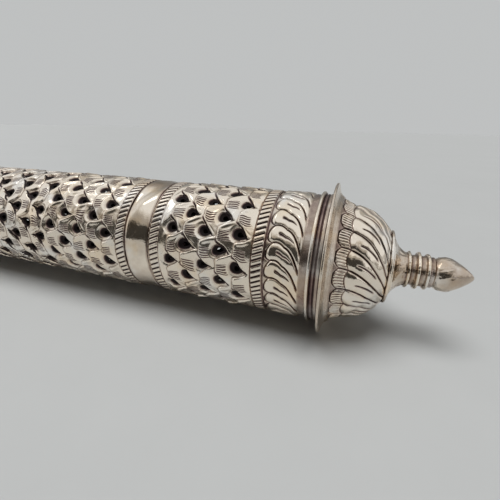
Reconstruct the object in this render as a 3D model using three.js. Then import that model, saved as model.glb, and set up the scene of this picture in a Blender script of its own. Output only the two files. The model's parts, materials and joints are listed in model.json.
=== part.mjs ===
// Scroll holder: a pierced and chased silver tube, closed at each end by a domed cap that pulls off.
//
// Millimetres, +Z up. The tube lies along X and the holder stands on its two flared cap rims. The origin
// is on the ground under the middle of the tube. Each half is drawn for +X, and the left half is the same
// half turned round Z.

import * as THREE from "three";

// Tube. Its sections are soldered end to end, so their flat ends touch.
const TUBE_RADIUS = 21;
const SHEET = 0.9; // wall of the tube's sections, bezels and domes
const MIDDLE_LENGTH = 72.4; // pierced sleeve between the two plain bands
const SHORT_LENGTH = 31.9; // pierced sleeve beside each leaf band
const PLAIN_WIDTH = 9; // polished band
const LEAF_WIDTH = 12.6; // band of swirling leaves
const LEAF_COUNT = 21;

// Hatched borders: milled strips that lie in rebates beside the sleeves, each with a groove at one edge.
const REBATE_WIDTH = 4.4;
const REBATE_DEPTH = 0.3;
const GROOVE_WIDTH = 0.4;
const STRIP_THICKNESS = 0.35;
const STRIP_CLEARANCE = 0.05; // between a strip and the floor of its rebate

// Pierced fish scales: rows of tear-shaped holes round the tube, each row shifted by half a scale.
const SCALES_ROUND = 12;
const ROW_PITCH = 6.1; // wished distance between rows, rounded to fill each sleeve
const ROW_MARGIN = 4.2; // from a sleeve's end to its last row of holes
const HOLE_LENGTH = 5.2; // with its pointed tail, along the tube
const HOLE_WIDTH = 4;
const SCALE_RISE = 0.3; // the middle of a scale stands this far above the tube
const HOLE_SINK = 0.3; // and the sheet is punched down round a hole

// Mouth moulding soldered to each end of the tube: a lip and a cove.
const LIP_WIDTH = 1.2;
const LIP_HEIGHT = 1.2; // above the tube
const COVE_WIDTH = 2.6;
const COVE_HEIGHT = 0.3; // above the tube

// Cap: a flared rim, a bezel that slides into the tube, and a dome.
const RIM_OVERHANG = 4.2; // beyond the tube
const RIM_EDGE = 0.9; // width of the rim's outer edge, which stands on the table
const RIM_LENGTH = 3;
const RIM_TOE = 0.5; // the flare ends this far outside the dome
const RIM_GAP = 0.3; // between the rim and the mouth of the tube
const BEZEL_DEPTH = 12; // into the tube
const BEZEL_CLEARANCE = 0.3; // running clearance in the tube
const RIM_SEAT_CLEARANCE = 0.1; // between the rim and the bezel that it is soldered to
const DOME_LEDGE = 0.3; // the foot of the dome stands this far outside the bezel
const DOME_HEIGHT = 15.2;
const DOME_LEAF_COUNT = 20;
const DOME_TURN = 0.62; // radians by which the dome's leaves swirl on their way up

// Leaves in relief, on the leaf bands and the domes.
const LEAF_RELIEF = 0.28;
const LEAF_TURN = 0.34; // radians by which a band's leaves swirl

// Finial: collar, trumpet-shaped neck, turned rings and a pointed bud, held by a nut inside the dome.
const COLLAR_RADIUS = 11.8;
const COLLAR_THICKNESS = 1;
const COLLAR_OVERHANG = 0.6; // beyond the flat top of the dome
const FOOT_STEP = 2.2; // the finial's foot is this much smaller than the collar
const NECK_RADIUS = 5;
const NECK_LENGTH = 4.8; // trumpet, from the foot to the first ring
const NECK_RING_HEIGHTS = [0.7, 1, 0.6]; // above the neck
const NECK_RING_WIDTH = 1.8;
const NECK_RING_PITCH = 2.4;
const BUD_RADIUS = 5.3;
const BUD_LENGTH = 11.9;
const STUD_RADIUS = 1.8;
const STUD_TAIL = 1; // past the nut
const STUD_CLEARANCE = 0.3; // in the collar, dome, washer and nut
const WASHER_RADIUS = 5;
const WASHER_THICKNESS = 0.8;
const NUT_RADIUS = 4; // across corners, halved
const NUT_THICKNESS = 2.4;

// Facets.
const ROUND_SIDES = 28;
const BAND_SIDES = 24;
const FINIAL_SIDES = 12;
const NUT_SIDES = 6;

// Worked out from the sizes above.
const BORE_RADIUS = TUBE_RADIUS - SHEET;
const BEZEL_RADIUS = BORE_RADIUS - BEZEL_CLEARANCE;
const REBATE_RADIUS = TUBE_RADIUS - REBATE_DEPTH;
const RIM_RADIUS = TUBE_RADIUS + RIM_OVERHANG;
const DOME_RADIUS = BEZEL_RADIUS + DOME_LEDGE;
const DOME_TOP_RADIUS = COLLAR_RADIUS - COLLAR_OVERHANG;
const FOOT_RADIUS = COLLAR_RADIUS - FOOT_STEP;
const STUD_HOLE_RADIUS = STUD_RADIUS + STUD_CLEARANCE;
// The cap's rings have a flat facet at the bottom, on which the rim stands.
const FLAT_DOWN = Math.PI / ROUND_SIDES;
const AXIS_HEIGHT = RIM_RADIUS * Math.cos(FLAT_DOWN);

// Places along the right half.
const PLAIN_START = MIDDLE_LENGTH / 2;
const PLAIN_END = PLAIN_START + 2 * REBATE_WIDTH + PLAIN_WIDTH;
const LEAF_START = PLAIN_END + SHORT_LENGTH;
const LEAF_END = LEAF_START + REBATE_WIDTH + LEAF_WIDTH;
const MOUTH = LEAF_END + LIP_WIDTH + COVE_WIDTH;
const RIM_BACK = MOUTH + RIM_GAP;
const DOME_BASE = RIM_BACK + RIM_LENGTH;
const DOME_TOP = DOME_BASE + DOME_HEIGHT;
const FOOT = DOME_TOP + COLLAR_THICKNESS;

// Finishes.
const silver = (name, color, roughness) => {
  return new THREE.MeshStandardMaterial({ name, color, roughness, metalness: 1 });
};
const POLISHED = silver("polished silver", 0xd9d4c9, 0.16);
const CHASED = silver("chased silver", 0xcdc4b4, 0.3);
const DARKENED = silver("darkened silver", 0x8d8074, 0.45);

// A closed outline of [along, radius] points, turned round the X axis, with a facet line at that angle.
function turned(outline, sides, angle = 0) {
  const points = outline.map(([along, radius]) => new THREE.Vector2(radius, along));
  return new THREE.LatheGeometry(points, sides, angle).rotateZ(-Math.PI / 2);
}

// The same with leaves, for an outline whose points also carry [relief, turn]. Every second facet line is
// the crest of a leaf and the others are valleys. Turn is the angle by which a point's ring is turned.
function turnedWithLeaves(outline, leaves) {
  const sides = 2 * leaves;
  const rings = outline.slice(1).map(([along, radius, relief = 0, turn = 0]) => {
    return Array.from({ length: sides }, (_, side) => {
      const reach = radius + (side % 2 === 0 ? relief : -relief);
      return new THREE.Vector3(...roundTube(along, (2 * Math.PI * side) / sides + turn, reach));
    });
  });
  const corners = [];
  rings.forEach((here, i) => {
    const there = rings[(i + 1) % rings.length];
    for (let side = 0; side < sides; side++) {
      const next = (side + 1) % sides;
      const [a, b, c, d] = [here[side], here[next], there[next], there[side]];
      // Each quad is folded along its shorter diagonal.
      const folded = a.distanceTo(c) < b.distanceTo(d) ? [a, b, c, a, c, d] : [a, b, d, b, c, d];
      corners.push(...folded);
    }
  });
  return new THREE.BufferGeometry().setFromPoints(corners);
}

// The point at that angle round the X axis, counted from the top.
function roundTube(along, angle, radius) {
  return [along, -radius * Math.sin(angle), radius * Math.cos(angle)];
}

// A plain ring with a rectangular section.
function ring(start, end, inner, outer, sides, angle = 0) {
  const section = [[start, inner], [start, outer], [end, outer], [end, inner], [start, inner]];
  return turned(section, sides, angle);
}

// Outlines of one hole round its centre, as shares of its length and width: tear-shaped with its tail
// towards +X, and with a tail each way.
const TEAR_SHARES = [[0.56, 0], [0.06, 0.46], [-0.4, 0.34], [-0.4, -0.34], [0.06, -0.46]];
const TWO_TAIL_SHARES = [[0.5, 0], [0, 0.44], [-0.5, 0], [0, -0.44]];

// A pierced sleeve from start to end. The sheet is laid out flat as diamonds, each round one hole. Two of
// a diamond's corners lie on the neighbouring rows and two between the holes of its own row, where a scale
// is highest. tailSide gives the way that a row's tails point, or zero for a row of two-tailed holes. The
// first row's holes are shifted by that share of a scale.
function piercedSleeve(start, end, tailSide, shiftShare) {
  const step = (2 * Math.PI) / SCALES_ROUND;
  const gaps = Math.max(1, Math.round((end - start - 2 * ROW_MARGIN) / ROW_PITCH));
  const pitch = (end - start - 2 * ROW_MARGIN) / gaps;
  const rows = Array.from({ length: gaps + 1 }, (_, row) => start + ROW_MARGIN + row * pitch);
  const outer = [];

  const skin = ([along, arc, height]) => {
    const angle = arc / TUBE_RADIUS;
    return {
      outside: roundTube(along, angle, TUBE_RADIUS + height),
      inside: roundTube(along, angle, BORE_RADIUS),
    };
  };
  const triangle = (a, b, c) => {
    const area = (b[0] - a[0]) * (c[1] - a[1]) - (c[0] - a[0]) * (b[1] - a[1]);
    const [p, q, r] = (area > 0 ? [a, c, b] : [a, b, c]).map(skin);
    outer.push(...p.outside, ...q.outside, ...r.outside);
    outer.push(...p.inside, ...r.inside, ...q.inside);
  };
  // The cut edge of the sheet between two neighbouring points of its border.
  const edge = (from, to) => {
    const [p, q] = [from, to].map(skin);
    outer.push(...p.outside, ...q.inside, ...q.outside);
    outer.push(...p.outside, ...p.inside, ...q.inside);
  };

  rows.forEach((along, row) => {
    const before = row === 0 ? start : rows[row - 1];
    const after = row === gaps ? end : rows[row + 1];
    const tail = tailSide(along);
    const shares = tail === 0 ? TWO_TAIL_SHARES : TEAR_SHARES;
    const way = tail || 1;
    for (let scale = 0; scale < SCALES_ROUND; scale++) {
      const arc = (scale + shiftShare + (row % 2) / 2) * step * TUBE_RADIUS;
      const half = (step * TUBE_RADIUS) / 2;
      const corners = [
        [before, arc, row === 0 ? 0 : SCALE_RISE],
        [along, arc - half, SCALE_RISE],
        [after, arc, row === gaps ? 0 : SCALE_RISE],
        [along, arc + half, SCALE_RISE],
      ];
      const hole = shares.map(([x, y]) => {
        return [along + way * x * HOLE_LENGTH, arc + way * y * HOLE_WIDTH, -HOLE_SINK];
      });
      const flat = (points) => points.map(([x, y]) => new THREE.Vector2(x, y));
      const all = [...corners, ...hole];
      for (const face of THREE.ShapeUtils.triangulateShape(flat(corners), [flat(hole)])) {
        triangle(...face.map((i) => all[i]));
      }
      hole.forEach((point, i) => edge(point, hole[(i + 1) % hole.length]));

      // At each end of the sleeve two triangles fill up to the end's circle.
      const ends = [];
      if (row === 0) ends.push([start, [0, half, 2 * half]]);
      if (row === gaps) ends.push([end, [2 * half, half, 0]]);
      for (const [border, turns] of ends) {
        const [a, b, c] = turns.map((turn) => [border, arc + turn, 0]);
        triangle(corners[3], a, b);
        triangle(corners[3], b, c);
        edge(a, b);
        edge(b, c);
      }
    }
  });
  const geometry = new THREE.BufferGeometry();
  return geometry.setAttribute("position", new THREE.Float32BufferAttribute(outer, 3));
}

// Plain band with a rebate on each side for a border.
function plainBand() {
  const [landStart, landEnd] = [PLAIN_START + REBATE_WIDTH, PLAIN_END - REBATE_WIDTH];
  const outline = [
    [PLAIN_START, BORE_RADIUS],
    [PLAIN_START, REBATE_RADIUS],
    [landStart, REBATE_RADIUS],
    [landStart, TUBE_RADIUS],
    [landEnd, TUBE_RADIUS],
    [landEnd, REBATE_RADIUS],
    [PLAIN_END, REBATE_RADIUS],
    [PLAIN_END, BORE_RADIUS],
    [PLAIN_START, BORE_RADIUS],
  ];
  return turned(outline, BAND_SIDES);
}

// Leaf band: a rebate for a border, then leaves that start straight and swirl as they near the mouth.
// Each row of leaf points has its place along the band, its relief and its turn.
const LEAF_ROW_SHARES = [[0.3, 1, 0], [0.65, 1, 0.4]];

function leafBand() {
  const landStart = LEAF_START + REBATE_WIDTH;
  const leafRows = (radius, relief) => LEAF_ROW_SHARES.map(([along, reliefShare, turnShare]) => {
    return [landStart + along * LEAF_WIDTH, radius, relief * reliefShare, LEAF_TURN * turnShare];
  });
  const outline = [
    [LEAF_START, BORE_RADIUS],
    [LEAF_START, REBATE_RADIUS],
    [landStart, REBATE_RADIUS],
    [landStart, TUBE_RADIUS],
    ...leafRows(TUBE_RADIUS, LEAF_RELIEF),
    [LEAF_END, TUBE_RADIUS, 0, LEAF_TURN],
    [LEAF_END, BORE_RADIUS, 0, LEAF_TURN],
    ...leafRows(BORE_RADIUS, 0).reverse(),
    [LEAF_START, BORE_RADIUS],
  ];
  return turnedWithLeaves(outline, LEAF_COUNT);
}

// Border strip in the rebate that starts there. It lies against the sleeve beside the rebate, so the
// groove is at its far edge.
function border(start, grooveAtEnd, sides) {
  const inner = REBATE_RADIUS + STRIP_CLEARANCE;
  const from = grooveAtEnd ? start : start + GROOVE_WIDTH;
  const to = from + REBATE_WIDTH - GROOVE_WIDTH;
  return ring(from, to, inner, inner + STRIP_THICKNESS, sides);
}

// Lip and cove round the tube's mouth.
function mouthMoulding() {
  const lipRadius = TUBE_RADIUS + LIP_HEIGHT;
  const coveRadius = TUBE_RADIUS + COVE_HEIGHT;
  const outline = [
    [LEAF_END, BORE_RADIUS],
    [LEAF_END, TUBE_RADIUS],
    [LEAF_END + LIP_WIDTH / 4, lipRadius],
    [LEAF_END + LIP_WIDTH, lipRadius],
    [LEAF_END + LIP_WIDTH, coveRadius],
    [MOUTH, coveRadius],
    [MOUTH, BORE_RADIUS],
    [LEAF_END, BORE_RADIUS],
  ];
  return turned(outline, ROUND_SIDES, FLAT_DOWN);
}

// Flared rim. Its front sweeps in a hollow curve from the edge to the foot of the dome.
function capRim() {
  const toe = DOME_RADIUS + RIM_TOE;
  const edgeFront = RIM_BACK + RIM_EDGE;
  const inner = BEZEL_RADIUS + RIM_SEAT_CLEARANCE;
  const flare = new THREE.QuadraticBezierCurve(
    new THREE.Vector2(edgeFront, RIM_RADIUS),
    new THREE.Vector2(edgeFront, toe),
    new THREE.Vector2(DOME_BASE, toe),
  );
  const outline = [
    [RIM_BACK, inner],
    [RIM_BACK, RIM_RADIUS],
    ...flare.getPoints(3).map((p) => [p.x, p.y]),
    [DOME_BASE, inner],
    [RIM_BACK, inner],
  ];
  return turned(outline, ROUND_SIDES, FLAT_DOWN);
}

function capBezel() {
  const start = MOUTH - BEZEL_DEPTH;
  return ring(start, DOME_BASE, BEZEL_RADIUS - SHEET, BEZEL_RADIUS, ROUND_SIDES, FLAT_DOWN);
}

// Dome: along, radius, relief and turn of each row of its leaves, all as shares of the dome's own sizes.
// A radius share of 1 is the foot, and 0 is the edge of the flat top.
const DOME_ROW_SHARES = [
  [0, 1, 0, 0],
  [0.12, 0.9, 0, 0],
  [0.3, 0.8, 1, 0],
  [0.6, 0.62, 1, 0.2],
  [0.84, 0.34, 0.8, 0.6],
  [1, 0, 0, 1],
];

const DOME_INSIDE_ROWS = [0, 2, 4, 5]; // the rows that the plain inside follows

function capDome() {
  const drop = DOME_RADIUS - DOME_TOP_RADIUS;
  const outside = DOME_ROW_SHARES.map(([along, radius, relief, turn]) => {
    const reach = DOME_TOP_RADIUS + radius * drop;
    return [DOME_BASE + along * DOME_HEIGHT, reach, relief * LEAF_RELIEF, turn * DOME_TURN];
  });
  const inside = DOME_INSIDE_ROWS.map((row) => DOME_ROW_SHARES[row]).map(([along, radius, , turn]) => {
    const reach = DOME_TOP_RADIUS + radius * drop - SHEET;
    return [DOME_BASE + along * (DOME_HEIGHT - SHEET), reach, 0, turn * DOME_TURN];
  });
  const outline = [
    ...outside,
    [DOME_TOP, STUD_HOLE_RADIUS, 0, DOME_TURN],
    [DOME_TOP - SHEET, STUD_HOLE_RADIUS, 0, DOME_TURN],
    ...inside.reverse(),
    outside[0],
  ];
  return turnedWithLeaves(outline, DOME_LEAF_COUNT);
}

function finialCollar() {
  return ring(DOME_TOP, FOOT, STUD_HOLE_RADIUS, COLLAR_RADIUS, BAND_SIDES);
}

// The bud's radius along its length.
const BUD_SHARES = [[0, 0.74], [0.12, 0.9], [0.32, 1], [0.54, 0.83], [0.84, 0.42]];

function finial() {
  const studEnd = DOME_TOP - SHEET - WASHER_THICKNESS - NUT_THICKNESS - STUD_TAIL;
  const neckEnd = FOOT + NECK_LENGTH;
  const trumpet = new THREE.QuadraticBezierCurve(
    new THREE.Vector2(FOOT, FOOT_RADIUS),
    new THREE.Vector2(FOOT + NECK_LENGTH / 4, NECK_RADIUS),
    new THREE.Vector2(neckEnd, NECK_RADIUS),
  );
  const rings = NECK_RING_HEIGHTS.flatMap((height, i) => {
    const middle = neckEnd + (i + 1 / 2) * NECK_RING_PITCH;
    return [
      [middle - NECK_RING_WIDTH / 2, NECK_RADIUS],
      [middle, NECK_RADIUS + height],
      [middle + NECK_RING_WIDTH / 2, NECK_RADIUS],
    ];
  });
  const budStart = neckEnd + NECK_RING_HEIGHTS.length * NECK_RING_PITCH;
  const bud = BUD_SHARES.map(([along, radius]) => [budStart + along * BUD_LENGTH, radius * BUD_RADIUS]);
  const outline = [
    [studEnd, 0],
    [studEnd, STUD_RADIUS],
    [FOOT, STUD_RADIUS],
    ...trumpet.getPoints(3).map((p) => [p.x, p.y]),
    ...rings,
    ...bud,
    [budStart + BUD_LENGTH, 0],
  ];
  return turned(outline, FINIAL_SIDES);
}

function washer() {
  const back = DOME_TOP - SHEET;
  return ring(back - WASHER_THICKNESS, back, STUD_HOLE_RADIUS, WASHER_RADIUS, FINIAL_SIDES);
}

function nut() {
  const back = DOME_TOP - SHEET - WASHER_THICKNESS;
  const hexagon = new THREE.Shape();
  for (let corner = 0; corner < NUT_SIDES; corner++) {
    const angle = (2 * Math.PI * corner) / NUT_SIDES;
    const point = [NUT_RADIUS * Math.cos(angle), NUT_RADIUS * Math.sin(angle)];
    corner === 0 ? hexagon.moveTo(...point) : hexagon.lineTo(...point);
  }
  hexagon.closePath();
  hexagon.holes.push(new THREE.Path().absarc(0, 0, STUD_HOLE_RADIUS, 0, 2 * Math.PI, true));
  const options = { depth: NUT_THICKNESS, bevelEnabled: false, curveSegments: NUT_SIDES };
  const geometry = new THREE.ExtrudeGeometry(hexagon, options);
  return geometry.rotateY(Math.PI / 2).translate(back - NUT_THICKNESS, 0, 0);
}

const holder = new THREE.Group();
holder.name = "scroll_holder";
holder.position.z = AXIS_HEIGHT;

function add(parent, name, geometry, material) {
  const mesh = new THREE.Mesh(geometry, material);
  mesh.name = name;
  parent.add(mesh);
}

// The tails of the holes point away from the middle of the tube, where one row has tails both ways.
const awayFromMiddle = (along) => (Math.abs(along) < HOLE_WIDTH / 2 ? 0 : Math.sign(along));
add(holder, "pierced_sleeve_middle", piercedSleeve(-PLAIN_START, PLAIN_START, awayFromMiddle, 1 / 2), CHASED);

for (const [side, turn] of [["right", 0], ["left", Math.PI]]) {
  const half = new THREE.Group();
  half.name = `${side}_half`;
  half.rotation.z = turn;
  holder.add(half);
  const put = (name, geometry, material) => add(half, `${name}_${side}`, geometry, material);

  put("plain_band", plainBand(), POLISHED);
  put("border_inner", border(PLAIN_START, true, BAND_SIDES), CHASED);
  put("border_outer", border(PLAIN_END - REBATE_WIDTH, false, BAND_SIDES), CHASED);
  put("pierced_sleeve", piercedSleeve(PLAIN_END, LEAF_START, awayFromMiddle, 0), CHASED);
  put("leaf_band", leafBand(), CHASED);
  put("border_leaf", border(LEAF_START, true, 2 * LEAF_COUNT), CHASED);
  put("mouth_moulding", mouthMoulding(), DARKENED);

  put("cap_rim", capRim(), POLISHED);
  put("cap_bezel", capBezel(), DARKENED);
  put("cap_dome", capDome(), CHASED);
  put("finial_collar", finialCollar(), POLISHED);
  put("finial", finial(), POLISHED);
  put("finial_washer", washer(), DARKENED);
  put("finial_nut", nut(), DARKENED);
}

export default holder;
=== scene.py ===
"""A chased silver scroll holder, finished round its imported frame. Every size is in metres."""

import json
import math

import bpy
import numpy as np
from bpy.props import FloatProperty, FloatVectorProperty, IntProperty, PointerProperty
from bpy.types import Operator, Panel, PropertyGroup
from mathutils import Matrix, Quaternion, Vector

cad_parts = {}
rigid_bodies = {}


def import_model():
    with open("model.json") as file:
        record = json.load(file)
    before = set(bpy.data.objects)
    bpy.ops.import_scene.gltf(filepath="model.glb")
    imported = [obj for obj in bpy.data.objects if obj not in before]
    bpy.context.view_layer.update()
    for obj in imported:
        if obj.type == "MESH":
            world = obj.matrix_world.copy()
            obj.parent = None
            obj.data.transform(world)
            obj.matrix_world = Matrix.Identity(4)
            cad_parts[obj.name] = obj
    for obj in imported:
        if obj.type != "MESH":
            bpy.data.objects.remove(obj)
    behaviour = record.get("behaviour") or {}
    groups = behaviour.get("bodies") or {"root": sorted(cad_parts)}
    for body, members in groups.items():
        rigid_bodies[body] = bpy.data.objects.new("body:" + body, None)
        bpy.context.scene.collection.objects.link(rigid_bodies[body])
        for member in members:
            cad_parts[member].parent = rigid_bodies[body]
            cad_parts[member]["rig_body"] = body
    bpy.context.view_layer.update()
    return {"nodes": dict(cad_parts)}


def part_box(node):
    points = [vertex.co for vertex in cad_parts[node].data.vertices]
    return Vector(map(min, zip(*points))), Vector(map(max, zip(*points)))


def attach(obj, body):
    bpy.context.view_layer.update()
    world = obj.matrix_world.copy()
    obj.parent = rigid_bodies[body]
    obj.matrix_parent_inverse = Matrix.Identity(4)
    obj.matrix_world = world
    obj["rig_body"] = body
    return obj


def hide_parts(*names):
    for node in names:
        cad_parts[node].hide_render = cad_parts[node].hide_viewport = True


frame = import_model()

bl_info = {
    "name": "Scroll holder",
    "version": (1, 0, 0),
    "blender": (4, 5, 0),
    "location": "View3D > Sidebar > Scroll holder",
    "description": "Finishes the pieces of a silver scroll holder and lights it",
    "category": "Add Mesh",
}

TURN = 2 * math.pi
MM = 0.001
SIDES = ("right", "left")

# What a mesh carries for its material: how far a point lies in a recess, which darkens it as tarnish, and in
# the sleeves' holes and on their inside also as painted shade, and its place in the ornament.
RECESS = "recess"
ORNAMENT = "ornament"


def span(node):
    """Where a right-hand node starts and ends along the tube, and how far it reaches from its axis."""
    low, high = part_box(node)
    return low.x, high.x, high.y


AXIS_HEIGHT = sum(corner.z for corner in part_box("cap_rim_right")) / 2
PLAIN_START, PLAIN_END, TUBE_RADIUS = span("plain_band_right")
SLEEVE_START, SLEEVE_END, _ = span("pierced_sleeve_right")
LEAF_START, LEAF_END, _ = span("leaf_band_right")
_, MOUTH, LIP_RADIUS = span("mouth_moulding_right")
RIM_START, RIM_END, RIM_RADIUS = span("cap_rim_right")
BEZEL_START, BEZEL_END, BEZEL_RADIUS = span("cap_bezel_right")
DOME_START, DOME_END, DOME_RADIUS = span("cap_dome_right")
COLLAR_START, COLLAR_END, COLLAR_RADIUS = span("finial_collar_right")
STUD_START, FINIAL_END, FOOT_RADIUS = span("finial_right")

# The dome's flat top, which the collar covers, and the hole for the finial's stud.
TOP_RADIUS = COLLAR_RADIUS - 0.6 * MM
STUD_HOLE = 2.1 * MM


# Settings.


def length_setting(name, description, default):
    return FloatProperty(name=name, description=description, default=default, unit="LENGTH")


def angle_setting(name, description, default):
    return FloatProperty(name=name, description=description, default=default, subtype="ANGLE")


def count_setting(name, description, default, least):
    return IntProperty(name=name, description=description, default=default, min=least)


def share_setting(name, description, default):
    return FloatProperty(name=name, description=description, default=default, min=0, max=1)


def strength_setting(name, description, default):
    return FloatProperty(name=name, description=description, default=default, min=0)


def colour_setting(name, description, default):
    return FloatVectorProperty(name=name, description=description, default=default, subtype="COLOR", size=3)


class TubeSizes(PropertyGroup):
    """Sheet, rebates and mouldings of the tube"""

    sheet: length_setting("Sheet", "Thickness of the silver sheet", 0.9 * MM)
    rebate_width: length_setting("Rebate width", "Width of the rebate for a border", 4.4 * MM)
    rebate_depth: length_setting("Rebate depth", "Depth of the rebate for a border", 0.3 * MM)
    strip: length_setting("Strip", "Thickness of a border strip", 0.35 * MM)
    strip_clearance: length_setting("Strip clearance", "Between a strip and its rebate", 0.05 * MM)
    hatch_strokes: count_setting("Hatch strokes", "Strokes round a border", 72, 12)
    hatch_slant: angle_setting("Hatch slant", "Turn of a stroke across its border", -0.09)
    lip_width: length_setting("Lip width", "Width of the lip", 1.2 * MM)
    cove_height: length_setting("Cove height", "Height of the cove over the tube", 0.3 * MM)


class ScaleSizes(PropertyGroup):
    """Fish scales of the pierced sleeves"""

    around: count_setting("Scales round", "Scales in one row", 12, 4)
    margin: length_setting("Row margin", "From a sleeve's end to its last holes", 4.2 * MM)
    hole_length: length_setting("Hole length", "Length of a hole with its tail", 5.0 * MM)
    hole_width: length_setting("Hole width", "Width of a hole without its taper", 4.9 * MM)
    rise: length_setting("Rise", "Height of a scale's tip over the scale in front", 0.38 * MM)
    crown: length_setting("Crown", "Swell of a scale across its width", 0.28 * MM)
    sink: length_setting("Sink", "Depth to which the sheet is punched in round a hole", 0.5 * MM)
    sink_reach: length_setting("Sink reach", "Width of the dip round a hole", 1.3 * MM)
    lip: length_setting("Lip", "Height of the raised lip on a scale's steeper side", 0.34 * MM)
    drift: length_setting("Drift", "How far the hand-marked rows stray", 0.22 * MM)
    stroke_pitch: length_setting("Stroke pitch", "Between two fan strokes at a scale's tip", 0.74 * MM)


class LeafSizes(PropertyGroup):
    """Swirling leaves of the tube's ends and the domes"""

    band_leaves: count_setting("Band leaves", "Leaves round a leaf band", 24, 6)
    dome_leaves: count_setting("Dome leaves", "Leaves round a dome", 20, 6)
    band_turn: angle_setting("Band turn", "Turn of a leaf along the band", 0.34)
    dome_turn: angle_setting("Dome turn", "Turn of a leaf up to the dome's top", 0.72)
    swell: length_setting("Swell", "Height of a leaf's crest", 0.4 * MM)
    groove: length_setting("Groove", "Depth of a chased line", 0.3 * MM)
    groove_width: length_setting("Groove width", "Half width of a chased line", 0.24 * MM)


class SilverColours(PropertyGroup):
    """Colours of silver from bright to black with tarnish"""

    bright: colour_setting("Bright", "Rubbed silver", (0.93, 0.83, 0.7))
    cool: colour_setting("Cool", "Patches of fresh silver", (0.88, 0.86, 0.82))
    straw: colour_setting("Straw", "Thin yellow film", (1.0, 0.88, 0.7))
    warm: colour_setting("Warm", "Thin yellow-brown tarnish", (0.56, 0.46, 0.37))
    brown: colour_setting("Brown", "Thick purple-brown tarnish", (0.2, 0.128, 0.12))
    # Black is also the painted shade in the sleeves' holes and on their inside.
    black: colour_setting("Black", "Tarnish in the deepest lines", (0.025, 0.02, 0.02))
    polish: share_setting("Polish", "Roughness of rubbed silver", 0.19)
    dullness: share_setting("Dullness", "Roughness of tarnish", 0.5)


class StageSettings(PropertyGroup):
    """Floor, light and camera"""

    floor: colour_setting("Floor", "Colour of the floor", (0.56, 0.57, 0.565))
    key: strength_setting("Key", "Strength of the high soft lamp", 2.5)
    fill: strength_setting("Fill", "Brightness of the sky dome", 1)
    backdrop: colour_setting("Backdrop", "Colour behind the floor's edge", (0.52, 0.53, 0.53))
    lens: FloatProperty(
        name="Lens", description="Focal length on a 36 mm sensor", default=22.65, unit="CAMERA"
    )
    eye: FloatVectorProperty(
        name="Eye",
        description="Where the camera stands",
        default=(0.11385, -0.10217, 0.06632),
        subtype="XYZ",
        size=3,
    )
    pan: angle_setting("Pan", "Camera's turn from +Y towards -X", math.radians(18.86))
    tilt: angle_setting("Tilt", "Camera's tilt below the horizon", math.radians(21.56))
    roll: angle_setting("Roll", "Camera's roll", math.radians(1.26))


class HolderSettings(PropertyGroup):
    """Settings of the scroll holder"""

    tube: PointerProperty(type=TubeSizes)
    scales: PointerProperty(type=ScaleSizes)
    leaves: PointerProperty(type=LeafSizes)
    silver: PointerProperty(type=SilverColours)
    stage: PointerProperty(type=StageSettings)


# Formulas that work on arrays and on shader sockets alike.


def lesser(first, second):
    """The smaller of two values."""
    return first.maths("MINIMUM", first, second) if isinstance(first, Socket) else np.minimum(first, second)


def greater(first, second):
    """The larger of two values."""
    return first.maths("MAXIMUM", first, second) if isinstance(first, Socket) else np.maximum(first, second)


def smooth(value, low, high):
    """0 at low and before it, 1 at high and past it, and 3 s^2 - 2 s^3 of the share s between them."""
    share = lesser(greater((value - low) / (high - low), 0), 1)
    return share * share * (3 - 2 * share)


def between(value, low, rise_end, fall_start, high):
    """0 up to low and past high, and 1 from rise_end to fall_start, with smooth steps."""
    return smooth(value, low, rise_end) * smooth(value, high, fall_start)


# A scale's outline: its tip and the length of its sides, in rows behind its row of holes, and between
# which places aside it is blunt.
SCALE_TIP = -0.23
SCALE_LENGTH = 0.85
SCALE_BLUNT = (-0.45, 0.1)
UNDER_POWER = 1.3
OVER_POWER = 1.5
# How far round the tube the scales lie from their holes, in scales.
SCALE_SHIFT = 0.075
# The first outline of a sleeve fades in between these rows.
FIRST_OUTLINE = (-0.36, -0.29)


def scale_outline(aside):
    """How many rows behind its row of holes a scale's outline lies at a place aside, and how steeply.

    The tip is blunt in its middle part. From there each side runs back to a cusp by a power of its share of
    the way, and the side towards -1 is the shorter and steeper one.
    """
    first, last = SCALE_BLUNT
    under = greater(aside - last, 0) / (1 - last)
    over = greater(first - aside, 0) / (1 + first)
    place = SCALE_TIP + SCALE_LENGTH * (under**UNDER_POWER + over**OVER_POWER)
    under_slope = under ** (UNDER_POWER - 1) * (UNDER_POWER / (1 - last))
    over_slope = over ** (OVER_POWER - 1) * (OVER_POWER / (1 + first))
    return place, SCALE_LENGTH * (under_slope + over_slope)


def scale_places(row, scale):
    """Where a place lies on the scales of the even rows, and on those of the odd rows.

    row counts rows of holes, and scale counts scales round the tube. Even rows have their holes at whole
    scales, and odd rows halfway. A scale's tip lies a little in front of its own row of holes and about
    midway between two of them, and its cusps meet behind the holes. Each of the two is three values: rows
    behind the outline, from 0 to 2, how far aside of the tip, from -1 to 1, and how steeply the outline runs
    back there.
    """
    places = []
    for odd in (0, 1):
        aside = 2 * ((scale - SCALE_SHIFT + odd / 2) % 1) - 1
        outline, slope = scale_outline(aside)
        places.append(((row - odd - outline) % 2, aside, slope))
    return places


# Surfaces.


class Surface:
    """Points and faces, with each point's recess, from 0 to about 1, and its place in the ornament."""

    def __init__(self, points, faces, recess, ornament=None):
        self.points = points.reshape(-1, 3)
        self.faces = faces.reshape(-1, 4)
        self.recess = np.broadcast_to(recess, points.shape[:-1]).reshape(-1)
        self.ornament = None if ornament is None else ornament.reshape(-1, 2)


def together(surfaces):
    """Several surfaces with an ornament as one."""
    starts = np.cumsum([0] + [len(surface.points) for surface in surfaces])
    return Surface(
        np.concatenate([surface.points for surface in surfaces]),
        np.concatenate([surface.faces + start for surface, start in zip(surfaces, starts)]),
        np.concatenate([surface.recess for surface in surfaces]),
        np.concatenate([surface.ornament for surface in surfaces]),
    )


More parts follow.
